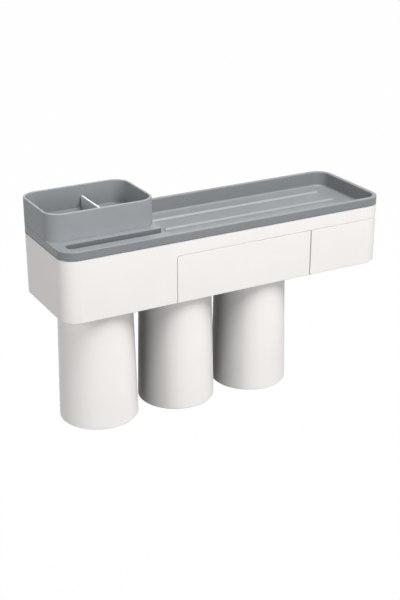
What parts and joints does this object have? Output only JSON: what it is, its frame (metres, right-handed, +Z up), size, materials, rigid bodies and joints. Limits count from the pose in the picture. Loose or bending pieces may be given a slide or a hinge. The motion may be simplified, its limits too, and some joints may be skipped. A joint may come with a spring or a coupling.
{
  "type": "toothbrush holder",
  "caption": "Wall-hung toothbrush holder: divided brush box and phone slot on a sunk tray, flush drawers under it and tapered rinsing cups hanging mouth down on magnets",
  "frame": {"origin": "middle of the adhesive pad's back face, on the wall", "axes": "+X along the holder to the right as seen from the front, +Y into the wall, +Z up"},
  "size_m": [0.345, 0.1073, 0.2098],
  "materials": {
    "warm_white": "fine satin",
    "grey": "satin",
    "divider_white": "smooth",
    "cup_white": "semi-gloss",
    "steel": "plated",
    "rail_grey": "matte",
    "pad": "foam"
  },
  "bodies": {
    "wall": {"wall_rail": "rail_grey", "adhesive_pad": "pad"},
    "holder": {"housing": "warm_white", "tray_top": "grey", "seat_magnet_1": "steel", "seat_magnet_2": "steel", "seat_magnet_3": "steel", "magnet_retainer_1": "warm_white", "magnet_retainer_2": "warm_white", "magnet_retainer_3": "warm_white"},
    "storage_box": {"storage_box": "grey"},
    "divider": {"box_divider": "divider_white"},
    "drawer_large": {"drawer_large_front": "warm_white", "drawer_large_tray": "warm_white"},
    "drawer_small": {"drawer_small_front": "warm_white", "drawer_small_tray": "warm_white"},
    "cup_1": {"cup_1": "cup_white", "cup_magnet_1": "steel", "cup_cover_1": "cup_white"},
    "cup_2": {"cup_2": "cup_white", "cup_magnet_2": "steel", "cup_cover_2": "cup_white"},
    "cup_3": {"cup_3": "cup_white", "cup_magnet_3": "steel", "cup_cover_3": "cup_white"}
  },
  "joints": [
    {"name": "holder_lift", "type": "slide", "parent": "wall", "child": "holder", "axis": [0, 0, 1], "range_m": [0, 0.01]},
    {"name": "box_lift", "type": "slide", "parent": "holder", "child": "storage_box", "axis": [0, 0, 1], "range_m": [0, 0.065]},
    {"name": "divider_lift", "type": "slide", "parent": "storage_box", "child": "divider", "axis": [0, 0, 1], "range_m": [0, 0.085]},
    {"name": "drawer_large_slide", "type": "slide", "parent": "holder", "child": "drawer_large", "axis": [0, -1, 0], "range_m": [0, 0.068]},
    {"name": "drawer_small_slide", "type": "slide", "parent": "holder", "child": "drawer_small", "axis": [0, -1, 0], "range_m": [0, 0.068]},
    {"name": "cup_1_pull", "type": "slide", "parent": "holder", "child": "cup_1", "axis": [0, 0, -1], "range_m": [0, 0.06]},
    {"name": "cup_2_pull", "type": "slide", "parent": "holder", "child": "cup_2", "axis": [0, 0, -1], "range_m": [0, 0.06]},
    {"name": "cup_3_pull", "type": "slide", "parent": "holder", "child": "cup_3", "axis": [0, 0, -1], "range_m": [0, 0.06]}
  ]
}
